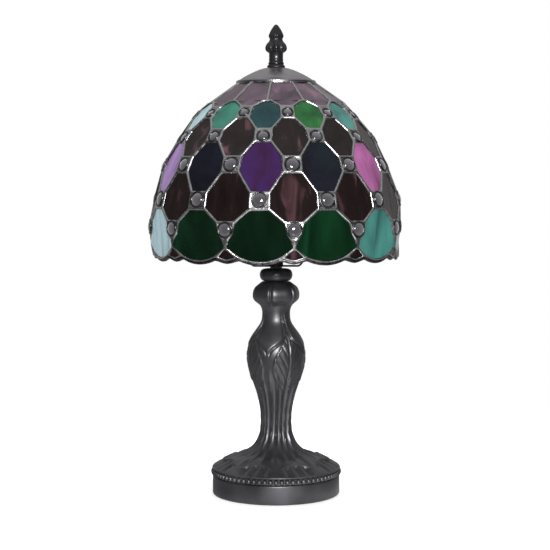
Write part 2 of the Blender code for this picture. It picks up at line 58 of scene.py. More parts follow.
# top, bottom and half width of each row's jewel cells, measured down and across the dome
JEWEL_ROWS = {
    "b": (34.5, 46.5, 4.6), "c": (57.7, 68.3, 5.9), "d": (81.9, 94.1, 6.6), "e": (110.3, 122.7, 7.3),
    "f": (132.8, 141.5, 6.8),
}
B_TOP = 28.0  # the flat top of a row b piece, down the dome, and half its width
B_TOP_HALF = 2.6
F_LOW_HALF = 4.8  # half the width of row f's jewel cells at their lower corners
F_SEAM = (146.4, 151.6)  # ends of the short upright seam under each of those cells
RIM_CORNER = (9.2, 159.0)  # a rim triangle's side corner, across and down
RIM_TRIANGLE_LOW = 161.8
RIM_LOBE_DROP = 3.9  # how far row f's lobes hang below those corners
SEAM = 1.6  # half the width of a solder seam
# each row's jewels: their middle, down the dome, and their radius
JEWELS = {"b": (41.4, 3.3), "c": (64.2, 4.0), "d": (88.2, 4.9), "e": (115.8, 5.2), "f": (138.2, 5.0)}
MM = 0.001  # a millimetre, in metres


# ---- mesh helpers ------------------------------------------------------------------------------
def smooth_path(guides, steps, closed=False):
    """Catmull-Rom points through the guide points, steps of them for each span."""
    count = len(guides)
    spans = count if closed else count - 1
    path = []
    for index in range(spans):
        if closed:
            near = [guides[(index + k) % count] for k in (-1, 0, 1, 2)]
        else:
            near = [guides[min(max(index + k, 0), count - 1)] for k in (-1, 0, 1, 2)]
        for step in range(steps):
            t = step / steps
            weights = (
                -0.5 * t + t * t - 0.5 * t**3,
                1 - 2.5 * t * t + 1.5 * t**3,
                0.5 * t + 2 * t * t - 1.5 * t**3,
                -0.5 * t * t + 0.5 * t**3,
            )
            axes = range(len(near[0]))
            path.append(tuple(sum(w * p[axis] for w, p in zip(weights, near)) for axis in axes))
    if not closed:
        path.append(tuple(guides[-1]))
    return path


def revolve(profile, segments, closed=False):
    """A turned solid: the profile of (radius, height) points spun once round the upright axis."""
    bm = bmesh.new()
    points = [bm.verts.new((radius, 0.0, height)) for radius, height in profile]
    edges = [bm.edges.new(pair) for pair in zip(points, points[1:])]
    if closed:
        edges.append(bm.edges.new((points[-1], points[0])))
    bmesh.ops.spin(
        bm, geom=points + edges, cent=(0, 0, 0), axis=(0, 0, 1), angle=2 * pi, steps=segments, use_merge=True
    )
    bmesh.ops.remove_doubles(bm, verts=bm.verts, dist=0.0005)
    bmesh.ops.recalc_face_normals(bm, faces=bm.faces)
    return bm


def tube_along(points, radius, sides=10, closed=False):
    """A round bar through the points, as a curve's bevel made a mesh."""
    curve = bpy.data.curves.new("bar", "CURVE")
    curve.dimensions = "3D"
    curve.bevel_depth = radius
    curve.bevel_resolution = max(sides // 2 - 2, 1)
    curve.use_fill_caps = not closed
    spline = curve.splines.new("POLY")
    spline.points.add(len(points) - 1)
    for slot, point in zip(spline.points, points):
        slot.co = (*point, 1.0)
    spline.use_cyclic_u = closed
    holder = bpy.data.objects.new("bar", curve)
    bpy.context.scene.collection.objects.link(holder)
    bpy.context.view_layer.update()
    mesh = bpy.data.meshes.new_from_object(holder.evaluated_get(bpy.context.evaluated_depsgraph_get()))
    bpy.data.objects.remove(holder, do_unlink=True)
    bm = bmesh.new()
    bm.from_mesh(mesh)
    bpy.data.meshes.remove(mesh)
    bmesh.ops.remove_doubles(bm, verts=bm.verts, dist=0.001)
    bmesh.ops.recalc_face_normals(bm, faces=bm.faces)
    return bm


def piece(bm, name, body, look, replaces=(), sharp=40.0, soften=0):
    """Turn a millimetre bmesh into a finished piece that rides on a body."""
    bmesh.ops.scale(bm, vec=(MM, MM, MM), verts=bm.verts)
    mesh = bpy.data.meshes.new(name)
    bm.to_mesh(mesh)
    bm.free()
    mesh.materials.append(look)
    mesh.shade_smooth()
    if sharp:
        mesh.set_sharp_from_angle(angle=radians(sharp))
    made = bpy.data.objects.new(name, mesh)
    bpy.context.scene.collection.objects.link(made)
    if soften:
        surface = made.modifiers.new("soften", "SUBSURF")
        surface.levels = soften
        surface.render_levels = soften
    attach(made, body)
    if replaces:
        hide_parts(*replaces)


def smoothstep(low, high, value):
    """0 up to low, 1 from high, and an eased slope between them."""
    share = min(max((value - low) / (high - low), 0.0), 1.0)
    return share * share * (3 - 2 * share)


def wrapped(angle, centre, pitch):
    """The angle from the nearest of the centres that repeat every pitch."""
    turned_by = (angle - centre) / pitch
    return (turned_by - floor(turned_by + 0.5)) * pitch


def crest(distance, width):
    """A rounded ridge, 1 at no distance and gone at about twice the width."""
    return exp(-((distance / width) ** 2))


def emboss(bm, relief, is_outside=None):
    """Push vertices out along their normals by relief(front angle in degrees, radius, height).

    Given is_outside(radius, height), only the vertices for which it is true are moved.
    """
    bm.normal_update()
    moves = []
    for vert in bm.verts:
        x, y, z = vert.co
        radius = hypot(x, y)
        if is_outside is None or is_outside(radius, z):
            moves.append((vert, vert.normal.copy() * relief(atan2(x, -y) * 180 / pi, radius, z)))
    for vert, move in moves:
        vert.co += move


# ---- materials ---------------------------------------------------------------------------------
def group_noise():
    """Soft clouds and fine grain in Object space: a 0-1 mask, and a bump height."""
    tree = bpy.data.node_groups.new("clouds_and_grain", "ShaderNodeTree")
    tree.interface.new_socket("Cloud Scale", in_out="INPUT", socket_type="NodeSocketFloat")
    tree.interface.new_socket("Grain Scale", in_out="INPUT", socket_type="NodeSocketFloat")
    tree.interface.new_socket("Clouds", in_out="OUTPUT", socket_type="NodeSocketFloat")
    tree.interface.new_socket("Grain", in_out="OUTPUT", socket_type="NodeSocketFloat")
    entry = tree.nodes.new("NodeGroupInput")
    leave = tree.nodes.new("NodeGroupOutput")
    where = tree.nodes.new("ShaderNodeTexCoord")
    for source, sink, detail in (("Cloud Scale", "Clouds", 3.0), ("Grain Scale", "Grain", 2.0)):
        texture = tree.nodes.new("ShaderNodeTexNoise")
        texture.inputs["Detail"].default_value = detail
        tree.links.new(where.outputs["Object"], texture.inputs["Vector"])
        tree.links.new(entry.outputs[source], texture.inputs["Scale"])
        tree.links.new(texture.outputs["Fac"], leave.inputs[sink])
    return tree


NOISE = group_noise()


class Look:
    """A Principled material with helpers to wire its varying inputs."""

    def __init__(self, name, colour, roughness, metallic=0.0, coat=0.0, ior=1.5):
        self.material = bpy.data.materials.new(name)
        self.material.use_nodes = True
        self.tree = self.material.node_tree
        self.shader = self.tree.nodes["Principled BSDF"]
        self.set("Base Color", (*colour, 1.0))
        self.set("Roughness", roughness)
        self.set("Metallic", metallic)
        self.set("Coat Weight", coat)
        self.set("IOR", ior)
        self.material.diffuse_color = (*colour, 1.0)

    def set(self, socket, value):
        self.shader.inputs[socket].default_value = value

    def node(self, kind, **settings):
        made = self.tree.nodes.new(kind)
        for key, value in settings.items():
            setattr(made, key, value)
        return made

    def link(self, source, sink):
        self.tree.links.new(source, sink)

    def drive(self, socket, source):
        """Feed one of the shader's own sockets."""
        self.link(source, self.shader.inputs[socket])

    def noise(self, cloud_scale, grain_scale):
        made = self.node("ShaderNodeGroup", node_tree=NOISE)
        made.inputs["Cloud Scale"].default_value = cloud_scale
        made.inputs["Grain Scale"].default_value = grain_scale
        return made

    def ramp(self, factor, stops):
        """A colour ramp over (position, colour) stops; a grey colour may be one number."""
        made = self.node("ShaderNodeValToRGB")
        elements = made.color_ramp.elements
        while len(elements) < len(stops):
            elements.new(0.5)
        for element, (position, colour) in zip(elements, stops):
            element.position = position
            element.color = (colour, colour, colour, 1.0) if isinstance(colour, float) else (*colour, 1.0)
        self.link(factor, made.inputs["Fac"])
        return made.outputs["Color"]

    def mix(self, factor, first, second):
        made = self.node("ShaderNodeMix", data_type="RGBA")
        self.link(factor, made.inputs["Factor"])
        colours_in, colour_out = made.inputs[6:8], made.outputs[2]
        for value, socket in zip((first, second), colours_in):
            if isinstance(value, tuple):
                socket.default_value = (*value, 1.0)
            else:
                self.link(value, socket)
        return colour_out

    def bump(self, height, strength, distance):
        made = self.node("ShaderNodeBump")
        made.inputs["Strength"].default_value = strength
        made.inputs["Distance"].default_value = distance
        self.link(height, made.inputs["Height"])
        self.drive("Normal", made.outputs["Normal"])

    def attribute(self, name):
        return self.node("ShaderNodeAttribute", attribute_name=name).outputs["Fac"]


def toned(colour, factor):
    return tuple(part * factor for part in colour)


def casting_look(name, colour, low_rough, high_rough):
    """Satin gunmetal over a sand-smooth zinc casting, a little uneven in colour and shine."""
    look = Look(name, colour, low_rough, metallic=0.85)
    pattern = look.noise(cloud_scale=38.0, grain_scale=900.0)
    clouds = pattern.outputs["Clouds"]
    look.drive("Base Color", look.ramp(clouds, [(0.3, toned(colour, 0.72)), (0.7, toned(colour, 1.3))]))
    look.drive("Roughness", look.ramp(clouds, [(0.35, low_rough), (0.65, high_rough)]))
    look.bump(pattern.outputs["Grain"], strength=0.12, distance=0.0003)
    return look.material


def plain_metal_look(name, colour, roughness, grain=600.0, metallic=1.0):
    """Plated or painted metal, in patches a little darker and duller."""
    look = Look(name, colour, roughness, metallic)
    pattern = look.noise(cloud_scale=60.0, grain_scale=grain)
    clouds = pattern.outputs["Clouds"]
    look.drive("Roughness", look.ramp(clouds, [(0.3, roughness), (0.75, roughness + 0.08)]))
    look.drive("Base Color", look.ramp(clouds, [(0.3, toned(colour, 0.8)), (0.7, colour)]))
    look.bump(pattern.outputs["Grain"], strength=0.06, distance=0.0002)
    return look.material


def plain_matte_look(name, colour, roughness, grain, strength):
    """Felt, raw iron, plastic and the like: one colour, darker in its grain."""
    look = Look(name, colour, roughness)
    speckle = look.noise(cloud_scale=50.0, grain_scale=grain).outputs["Grain"]
    look.drive("Base Color", look.ramp(speckle, [(0.3, toned(colour, 0.7)), (0.7, colour)]))
    look.bump(speckle, strength, distance=0.0004)
    return look.material


def solder_look():
    """Dark patina in the hollows, bright tin along the crests."""
    look = Look("patinated_solder", (0.3, 0.3, 0.31), 0.3, metallic=1.0)
    clouds = look.noise(cloud_scale=220.0, grain_scale=700.0).outputs["Clouds"]
    worn = look.node("ShaderNodeMath", operation="MULTIPLY_ADD")
    look.link(clouds, worn.inputs[0])
    worn.inputs[1].default_value = 0.9
    look.link(look.attribute("crest"), worn.inputs[2])
    tones = [(0.35, (0.07, 0.07, 0.075)), (0.8, (0.26, 0.26, 0.27)), (1.0, (0.6, 0.6, 0.61))]
    look.drive("Base Color", look.ramp(worn.outputs[0], tones))
    look.drive("Roughness", look.ramp(clouds, [(0.3, 0.2), (0.7, 0.4)]))
    look.bump(clouds, strength=0.5, distance=0.0006)
    return look.material


def glass_look(name, deep, wisp, wisp_amount, upright=0.22, scale=60.0):
    """Rolled art glass, unlit and so opaque: streaks drawn out upwards, under a wavy fire-polished face."""
    look = Look(name, deep, 0.07, ior=1.52)
    look.set("Transmission Weight", 0.0)
    where = look.node("ShaderNodeTexCoord")
    squeeze = look.node("ShaderNodeMapping")
    squeeze.inputs["Scale"].default_value = (1.0, 1.0, upright)
    look.link(where.outputs["Object"], squeeze.inputs["Vector"])
    streaks = look.node("ShaderNodeTexNoise")
    streaks.inputs["Scale"].default_value = scale
    streaks.inputs["Detail"].default_value = 4.0
    streaks.inputs["Distortion"].default_value = 0.8
    look.link(squeeze.outputs["Vector"], streaks.inputs["Vector"])
    wisps_from = 0.62 - 0.3 * wisp_amount
    tones = [(0.3, toned(deep, 0.55)), (wisps_from, deep), (0.82, wisp)]
    look.drive("Base Color", look.ramp(streaks.outputs["Fac"], tones))
    wave = look.node("ShaderNodeTexNoise")
    wave.inputs["Scale"].default_value = 95.0
    wave.inputs["Detail"].default_value = 1.5
    look.link(where.outputs["Object"], wave.inputs["Vector"])
    look.bump(wave.outputs["Fac"], strength=0.35, distance=0.0012)
    return look.material


def jewel_look():
    """A clear pressed jewel with painted light in its colour: painted shade in the middle where it is seen
    straight on, standing for the unlit inside of the shade seen through it, and a painted pale rim round its
    edge for the bright surroundings seen through it and mirrored there.
    """
    look = Look("clear_glass_jewel", (0.1, 0.1, 0.105), 0.06, coat=0.7, ior=1.6)
    weight = look.node("ShaderNodeLayerWeight")
    weight.inputs["Blend"].default_value = 0.4
    # painted light: the dark middle is painted shade from the unlit inside, the pale edge a painted
    # reflection of the bright surroundings
    tones = [(0.05, (0.05, 0.047, 0.052)), (0.4, (0.10, 0.097, 0.104)), (0.85, (0.40, 0.40, 0.41))]
    look.drive("Base Color", look.ramp(weight.outputs["Facing"], tones))
    clouds = look.noise(cloud_scale=420.0, grain_scale=900.0).outputs["Clouds"]
    look.bump(clouds, strength=0.25, distance=0.0005)
    return look.material


def make_looks():
    return {
        "casting": casting_look("gunmetal_casting", (0.11, 0.11, 0.117), 0.32, 0.42),
        "plinth": casting_look("gunmetal_plinth", (0.095, 0.095, 0.103), 0.34, 0.42),
        "finial": casting_look("gunmetal_finial", (0.07, 0.07, 0.075), 0.24, 0.36),
        "cap": plain_metal_look("grey_cap_metal", (0.50, 0.48, 0.51), 0.3, 500.0),
        "solder": solder_look(),
        "black_steel": plain_metal_look("satin_black_steel", (0.06, 0.06, 0.06), 0.4, 700.0, metallic=0.8),
        "zinc": plain_metal_look("zinc_plate", (0.55, 0.56, 0.57), 0.35),
        "brass": plain_metal_look("brass_plate", (0.66, 0.49, 0.22), 0.28),
        "jewel": jewel_look(),
        "felt": plain_matte_look("green_felt", (0.03, 0.05, 0.04), 0.95, 900.0, 0.6),
        "iron": plain_matte_look("raw_iron", (0.07, 0.07, 0.07), 0.8, 400.0, 0.5),
        "plastic": plain_matte_look("moulded_black", (0.02, 0.02, 0.02), 0.42, 800.0, 0.1),
        "porcelain": plain_matte_look("glazed_porcelain", (0.8, 0.79, 0.75), 0.25, 120.0, 0.05),
        "fibre": plain_matte_look("fibre_board", (0.5, 0.38, 0.24), 0.85, 500.0, 0.3),
        "bulb": plain_matte_look("frosted_bulb", (0.93, 0.93, 0.9), 0.3, 900.0, 0.04),
    }


LOOKS = make_looks()

# each glass: its deep colour, its wisps' colour and how much they cover, and for the streaky ones
# how far the streaks are drawn out and how fine they are
# the pale teal and the lilac glasses hold painted light: their paleness stands partly for bright surroundings
# mirrored at a glancing angle and light shining through the glass near the shade's outline, over a teal and a
# purple of their own
GLASS_COLOURS = {
    "pale_teal_painted_backlight": ((0.28, 0.40, 0.44), (0.42, 0.54, 0.58), 0.4),
    "deep_green": ((0.002, 0.009, 0.004), (0.004, 0.022, 0.010), 0.2),
    "emerald": ((0.002, 0.014, 0.005), (0.004, 0.034, 0.013), 0.5),
    "teal": ((0.036, 0.135, 0.12), (0.055, 0.22, 0.18), 0.5),
    "lilac_painted_backlight": ((0.225, 0.13, 0.32), (0.30, 0.19, 0.40), 0.4),
    "ink": ((0.004, 0.004, 0.009), (0.004, 0.010, 0.012), 0.3),
    "violet": ((0.024, 0.005, 0.032), (0.028, 0.012, 0.10), 0.6),
    "magenta": ((0.22, 0.068, 0.17), (0.34, 0.115, 0.28), 0.5),
    "mint": ((0.022, 0.11, 0.08), (0.035, 0.17, 0.12), 0.4),
    "sea": ((0.007, 0.026, 0.030), (0.010, 0.042, 0.045), 0.4),
    "leaf": ((0.010, 0.075, 0.018), (0.025, 0.13, 0.03), 0.4),
    "brown": ((0.010, 0.006, 0.006), (0.12, 0.055, 0.066), 0.1, 0.12, 75.0),
    "mauve": ((0.06, 0.040, 0.055), (0.16, 0.09, 0.12), 0.4, 0.3, 50.0),
}
GLASSES = {name: glass_look("glass_" + name, *colours) for name, colours in GLASS_COLOURS.items()}
# the glass of each piece of a row, from the front column round towards +X; a short list repeats. In rows b, d
# and f the glasses grow lighter from the front column towards the sides: partly their own hues, partly
# painted light for bright surroundings mirrored at a glancing angle and light shining through near the
# outline, and the lists repeat that round the back
ROW_GLASS = {
    "a": ["mauve"],
    "b": ["sea", "leaf", "teal", "pale_teal_painted_backlight", "mint", "sea", "leaf", "teal", "pale_teal_painted_backlight", "mint",
          "pale_teal_painted_backlight", "mint"],
    "c": ["brown"],
    "d": ["violet", "ink", "magenta", "lilac_painted_backlight", "ink", "violet", "ink", "magenta", "lilac_painted_backlight", "ink",
          "lilac_painted_backlight", "ink"],
    "e": ["brown"],
    "f": ["deep_green", "emerald", "teal", "pale_teal_painted_backlight", "deep_green", "emerald", "teal", "pale_teal_painted_backlight",
          "deep_green", "emerald", "pale_teal_painted_backlight", "deep_green"],
    "g": ["brown"],
}


# ---- the stand ---------------------------------------------------------------------------------
COLUMN_PROFILE = [
    (11.3, 171.1), (12.6, 170.2), (14.6, 168.6), (17.0, 166.2), (18.3, 163.2), (18.6, 160.0), (17.9, 157.0),
    (15.4, 154.4), (12.9, 152.0), (11.5, 148.6), (10.9, 144.0), (11.0, 140.0), (12.2, 136.8), (14.9, 132.8),
    (18.3, 128.0), (21.0, 123.0), (22.6, 117.6), (23.1, 111.5), (22.6, 105.0), (21.1, 99.0), (18.8, 92.4),
    (16.2, 86.0), (14.3, 79.8), (12.8, 73.0), (11.9, 66.0), (11.6, 58.0), (12.1, 50.6), (13.6, 45.2),
    (16.0, 40.6), (19.6, 36.4), (24.0, 33.3), (26.4, 31.9),
]
FOOT_PROFILE = [
    (21.5, 33.4), (24.0, 33.0), (28.0, 32.0), (32.4, 30.7), (37.0, 28.9), (42.0, 27.0), (46.6, 25.0),
    (49.4, 23.5), (51.0, 22.3), (51.7, 21.4), (51.4, 20.7), (50.6, 20.3), (50.2, 19.4), (50.2, 17.4),
    (50.2, 15.8),
]
# where each repeat of the relief is centred and how often it comes round, in degrees
PETAL_FRONT = -17.0
LEAF_PITCH = 90.0
KNOB_GROOVE = -14.0
KNOB_PITCH = 60.0
FAN_FRONT = 22.5
FAN_PITCH = 45.0
FAN_HALF = 18.0
STEM_FOOT = 33.0  # height at which the stem's ridges pass on to the foot
# the beads round the foot: how many, the ring's radius and height, and a bead's half sizes
BEADS = 72
BEAD_RING_R = 50.6
BEAD_RING_Z = 17.9
BEAD = (2.1, 2.05, 2.2)


def column_relief(angle, radius, height):
    """The stem's relief: a lobed knob, petals and leaves on the pear, and ridges down to the foot."""
    rise = 0.0
    if height > 150.5:
        # the knob's six lobes
        groove = wrapped(angle, KNOB_GROOVE, KNOB_PITCH)
        window = smoothstep(151.0, 156.0, height) * (1 - smoothstep(166.5, 170.0, height))
        rise -= 1.5 * window * crest(groove, 3.4)
        rise += 0.5 * window * cos(radians(groove * 360.0 / KNOB_PITCH))
    # smooth petals hang from the throat to a point
    beside = wrapped(angle, PETAL_FRONT, LEAF_PITCH)
    if 108.0 < height < 150.0:
        half_width = 34.0 * smoothstep(112.5, 128.0, height) ** 1.5 + 0.25 * max(height - 128.0, 0.0)
        inside = half_width - abs(beside)
        window = 1 - smoothstep(137.0, 149.0, height)
        rise += 0.9 * window * smoothstep(-1.0, 2.5, inside)
        rise -= 0.9 * window * crest(inside + 2.6, 1.8) * smoothstep(112.0, 116.5, height)
    # leaves stand between the petals, with a midrib and slanting veins
    leaf = wrapped(angle, PETAL_FRONT + LEAF_PITCH / 2, LEAF_PITCH)
    leaf_low, leaf_high = 84.0, 131.0
    if leaf_low < height < leaf_high:
        up = (height - leaf_low) / 46.0
        leaf_half = 33.0 * sin(pi * min(max(up, 0.0), 1.0) ** 0.75)
        within = smoothstep(-2.0, 2.0, leaf_half - abs(leaf))
        rise += 0.5 * within
        rise -= 0.8 * crest(leaf, 2.0) * within
        vein = wrapped(height - 0.75 * abs(leaf), 100.0, 9.5)
        rise -= 0.6 * crest(vein, 1.1) * within * smoothstep(2.0, 6.0, abs(leaf))
        rise += 0.45 * crest(leaf_half - abs(leaf), 2.0)
    # ridges down the stem
    if height < 108.0:
        rise += stem_ridges(angle, height) * (1 - smoothstep(84.0, 106.0, height))
    return rise


def stem_ridges(angle, height):
    """Root-like ridges down the stem that sway a little, over a broad fourfold swell."""
    sway = 3.0 * sin(height / 17.0) + 2.0 * sin(angle / 23.0)
    ridge = 1 - abs(sin(radians((angle + sway) * 10)))
    return 1.15 * ridge**1.4 - 0.35 + 0.6 * cos(radians((angle - PETAL_FRONT) * 4))


def foot_relief(angle, radius, height):
    """The foot's relief: fluted fans round the edge, with roots between them."""
    rise = 0.0
    sector = wrapped(angle, FAN_FRONT, FAN_PITCH)
    # roots run out between the fans
    root = wrapped(angle, 0.0, FAN_PITCH)
    out = smoothstep(26.0, 46.0, radius)
    rise += (1.1 - 0.7 * out) * crest(root, 5.5 - 2.0 * out) * (1 - smoothstep(44.0, 49.0, radius))
    # each fan has a raised arched border, and flutes inside it
    arch = 37.0 + 6.0 * (sector / FAN_HALF) ** 2
    inside_fan = smoothstep(0.0, 1.6, radius - arch - 1.2) * (1 - smoothstep(50.2, 51.4, radius))
    inside_fan *= smoothstep(0.0, 2.0, FAN_HALF - abs(sector))
    rise += 1.3 * crest(radius - arch, 0.9) * smoothstep(0.0, 2.5, FAN_HALF + 1.0 - abs(sector))
    flute = abs(sin(radians(sector * 17.0)))
    rise -= inside_fan * (0.2 + 1.7 * (1 - flute))
    # the stem's ridges run on as small roots
    rise += stem_ridges(angle, STEM_FOOT) * (1 - smoothstep(26.0, 37.0, radius))
    return rise


def on_column(radius, height):
    """Whether a point is on the column's outside, clear of its ends."""
    return radius > 10.0 and 31.6 < height < 170.6


def on_foot(radius, height):
    """Whether a point is on the foot's upper face, and not on the hollow face under it."""
    return radius > 21.0 and height > 20.8 + max(49.5 - radius, 0.0) * 0.35


def build_stand():
    bottom = [(26.0, 31.0), (18.0, 31.4), (8.8, 46.0), (8.8, 150.0), (6.0, 156.0), (6.0, 171.1)]
    outline = smooth_path(COLUMN_PROFILE, 6)
    column = revolve(outline + bottom, 240, closed=True)
    emboss(column, column_relief, on_column)
    piece(column, "leafed_column", "stand", LOOKS["casting"], ["column_casting"],
          sharp=60)

    outline = smooth_path(FOOT_PROFILE, 6)
    under = [
        (49.0, 15.8), (48.6, 19.2), (42.0, 23.0), (30.0, 27.0), (24.0, 29.2), (6.0, 29.2), (6.0, 33.0),
    ]
    foot = revolve(outline + under, 360, closed=True)
    emboss(foot, foot_relief, on_foot)
    piece(foot, "ribbed_foot", "stand", LOOKS["casting"], ["foot_casting"], sharp=60)
    build_beads()

    band = [
        (46.0, 15.4), (50.2, 15.4), (50.8, 15.2), (51.1, 14.8), (51.2, 14.2), (51.2, 1.6), (51.0, 0.8),
        (50.4, 0.3), (49.0, 0.3), (49.0, 13.6), (46.0, 13.6),
    ]
    piece(revolve(band, 160, closed=True), "plinth_band", "stand", LOOKS["plinth"],
          ["plinth_ring"], sharp=50)
    collar = [
        (5.4, 181.6), (8.6, 181.6), (10.6, 181.2), (12.0, 180.2), (12.9, 178.6), (13.2, 176.6), (12.9, 174.7),
        (12.1, 173.1), (10.9, 172.0), (9.4, 171.6), (5.4, 171.6),
    ]
    piece(revolve(collar, 96, closed=True), "smooth_collar", "stand", LOOKS["casting"],
          ["neck_collar"], sharp=50)
    felt = [(0.0, 1.5), (48.2, 1.5), (48.6, 1.1), (48.6, 0.3), (48.2, 0.0), (0.0, 0.0)]
    piece(revolve(felt, 96), "felt_disc", "stand", LOOKS["felt"], ["felt_pad"], sharp=50)


def build_beads():
    """The ring of beads round the foot's edge, one piece."""
    bm = bmesh.new()
    for index in range(BEADS):
        turn = 2 * pi * index / BEADS
        middle = (BEAD_RING_R * cos(turn), BEAD_RING_R * sin(turn), BEAD_RING_Z)
        place = Matrix.Translation(middle) @ Matrix.Rotation(turn, 4, "Z")
        stretch = Matrix.Diagonal((*BEAD, 1.0))
        bmesh.ops.create_icosphere(bm, subdivisions=2, radius=1.0, matrix=place @ stretch)
    piece(bm, "foot_beads", "stand", LOOKS["casting"], sharp=0)


# ---- the dome's geometry -----------------------------------------------------------------------
def dome_radius(height):
    return DOME_R * (1 - (abs(height - DOME_CENTRE) / DOME_HEIGHT) ** DOME_POWER) ** (1 / DOME_POWER)


def dome_table():
    """Rows of (distance down the dome, radius, height), from the crown to below the rim."""
    crown = DOME_CENTRE + DOME_HEIGHT * (1 - (DOME_TOP_R / DOME_R) ** DOME_POWER) ** (1 / DOME_POWER)
    rows = [(0.0, DOME_TOP_R, crown)]
    while rows[-1][2] > DOME_CENTRE - DOME_SKIRT:
        down, radius, height = rows[-1]
        lower = height - DOME_STEP
        wider = dome_radius(lower)
        rows.append((down + hypot(wider - radius, DOME_STEP), wider, lower))
    return rows


DOME = dome_table()


def dome_row(is_above):
    """The number of the last row of the dome's table for which is_above(row) is true."""
    low, high = 0, len(DOME) - 1
    while high - low > 1:
        middle = (low + high) // 2
        if is_above(DOME[middle]):
            low = middle
        else:
            high = middle
    return low


def dome_at(down):
    """(radius, height) at a distance down the dome from the crown."""
    low = dome_row(lambda row: row[0] <= down)
    first, second = DOME[low], DOME[low + 1]
    share = (down - first[0]) / (second[0] - first[0])
    return tuple(first[k] + share * (second[k] - first[k]) for k in (1, 2))


def dome_normal(turn, down):
    """The dome's outward direction, from the slope half a millimetre to each side."""
    above, below = dome_at(max(down - 0.5, 0.0)), dome_at(down + 0.5)
    run, fall = below[0] - above[0], above[1] - below[1]
    return Vector((fall * sin(turn), -fall * cos(turn), run)).normalized()


def dome_point(turn, down, lift=0.0):
    radius, height = dome_at(down)
    return Vector((radius * sin(turn), -radius * cos(turn), height)) + lift * dome_normal(turn, down)


def normal_near(x, y, z):
    """The dome's outward direction at a point close to it."""
    return dome_normal(atan2(x, -y), DOME[dome_row(lambda row: row[2] >= z)][0])


def spot(column, across, down):
    """A point of the layout as (turn, distance down), so that neighbouring cells share their corners."""
    turn = radians(FRONT_COLUMN + column * 360.0 / COLUMNS) + across / dome_at(down)[0]
    return (round(turn % (2 * pi), 6), down)


def jewel_corners(row, column):
    """Top left, top right, bottom right, (tip,) and bottom left of a jewel's cell."""
    top, low, half = JEWEL_ROWS[row]
    upper = [spot(column, -half, top), spot(column, half, top)]
    if row == "f":
        return [*upper, spot(column, F_LOW_HALF, low), spot(column, 0, F_SEAM[0]),
                spot(column, -F_LOW_HALF, low)]
    return [*upper, spot(column, half, low), spot(column, -half, low)]


def lobe_points(column, shares=(2 / 3, 1 / 3, 0, -1 / 3, -2 / 3)):
    """Points along the curved lower edge of a row f piece, as shares of its half width."""
    across, down = RIM_CORNER
    reach = dome_at(down)[0] * 2 * pi / COLUMNS - across
    return [spot(column, reach * share, down + RIM_LOBE_DROP * (1 - share * share)) for share in shares]


def shade_cells():
    """[(row, column, is_jewel, outline)] for every glass piece and jewel cell."""
    cells = []
    rim_across, rim_down = RIM_CORNER
    for column in range(0, COLUMNS, 2):
        right, left = column + 1, column - 1
        jewel = jewel_corners("b", right)
        cells.append(("a", right, False, [
            spot(column, 0, 0), spot(right, 0, 0), spot(right + 1, 0, 0), spot(right + 1, 0, B_TOP),
            spot(right + 1, -B_TOP_HALF, B_TOP), jewel[1], jewel[0], spot(column, B_TOP_HALF, B_TOP),
            spot(column, 0, B_TOP),
        ]))
        side_r, side_l = jewel_corners("b", right), jewel_corners("b", left)
        under = jewel_corners("c", column)
        cells.append(("b", column, False, [
            spot(column, -B_TOP_HALF, B_TOP), spot(column, 0, B_TOP), spot(column, B_TOP_HALF, B_TOP),
            side_r[0], side_r[3], under[1], under[0], side_l[2], side_l[1],
        ]))
        checkers = (("c", "b", "d", right), ("d", "c", "e", column), ("e", "d", "f", right))
        for row, above, below, middle in checkers:
            over, under = jewel_corners(above, middle), jewel_corners(below, middle)
            side_r, side_l = jewel_corners(row, middle + 1), jewel_corners(row, middle - 1)
            cells.append((row, middle, False, [
                over[3], over[2], side_r[0], side_r[3], under[1], under[0], side_l[2], side_l[1],
            ]))
        over = jewel_corners("e", column)
        side_r, side_l = jewel_corners("f", right), jewel_corners("f", left)
        cells.append(("f", column, False, [
            over[3], over[2], side_r[0], side_r[4], side_r[3], spot(right, 0, F_SEAM[1]),
            spot(right, -rim_across, rim_down), *lobe_points(column), spot(left, rim_across, rim_down),
            spot(left, 0, F_SEAM[1]), side_l[3], side_l[2], side_l[1],
        ]))
        cells.append(("g", right, False, [
            spot(right, 0, F_SEAM[1]), spot(right, rim_across, rim_down), spot(right, 0, RIM_TRIANGLE_LOW),
            spot(right, -rim_across, rim_down),
        ]))
        for row, middle in (("b", right), ("c", column), ("d", right), ("e", column), ("f", right)):
            cells.append((row, middle, True, jewel_corners(row, middle)))
    return cells


CELLS = shade_cells()


# ---- the shade ---------------------------------------------------------------------------------
DOME_INSIDE = Vector((0, 0, DOME_CENTRE - 30.0))
# a glass piece: its gap to the middle of the seam, its lift off the dome, its rounded corners,
# its ground edges and the width of the border kept flat inside them
PLATE_GAP = 0.55
PLATE_LIFT = 0.2
CORNER_ROUND = 1.3
EDGE_ROUND = 0.35
PLATE_BORDER = 0.25
# the solder's levels: lift off the dome, how worn bright, and the room kept clear beside the short
# seams under the lowest jewels
RIDGE = (1.35, 1.0, 0.0)
SHOULDER = (1.05, 0.6, 2.2)
PAD = (0.95, 0.45, 0.0)
SKIRT = (-0.3, 0.0, 4.3)
SHOULDER_SHARE = 0.55  # of the seam's half width, from ridge to shoulder
WEB_DEPTH = 2 * GLASS
SKIRT_DEPTH = GLASS - 0.2
# a side this long gets two more points, this far from its ends; a shorter one gets its middle
LONG_SIDE = 7.0
SHORT_SIDE = 2.4
SIDE_END = 1.7
RIM_SIDE_END = 3.9
FORK_REACH = 7.0  # how far above and below a short seam's middle the room beside it is kept
# a jewel: sides, steps up its dome, the dome's height for its radius, its foot and its lift
JEWEL_SIDES = 24
JEWEL_STEPS = 7
JEWEL_DOME = 0.44
JEWEL_FOOT = 0.8
JEWEL_LIFT = 0.4
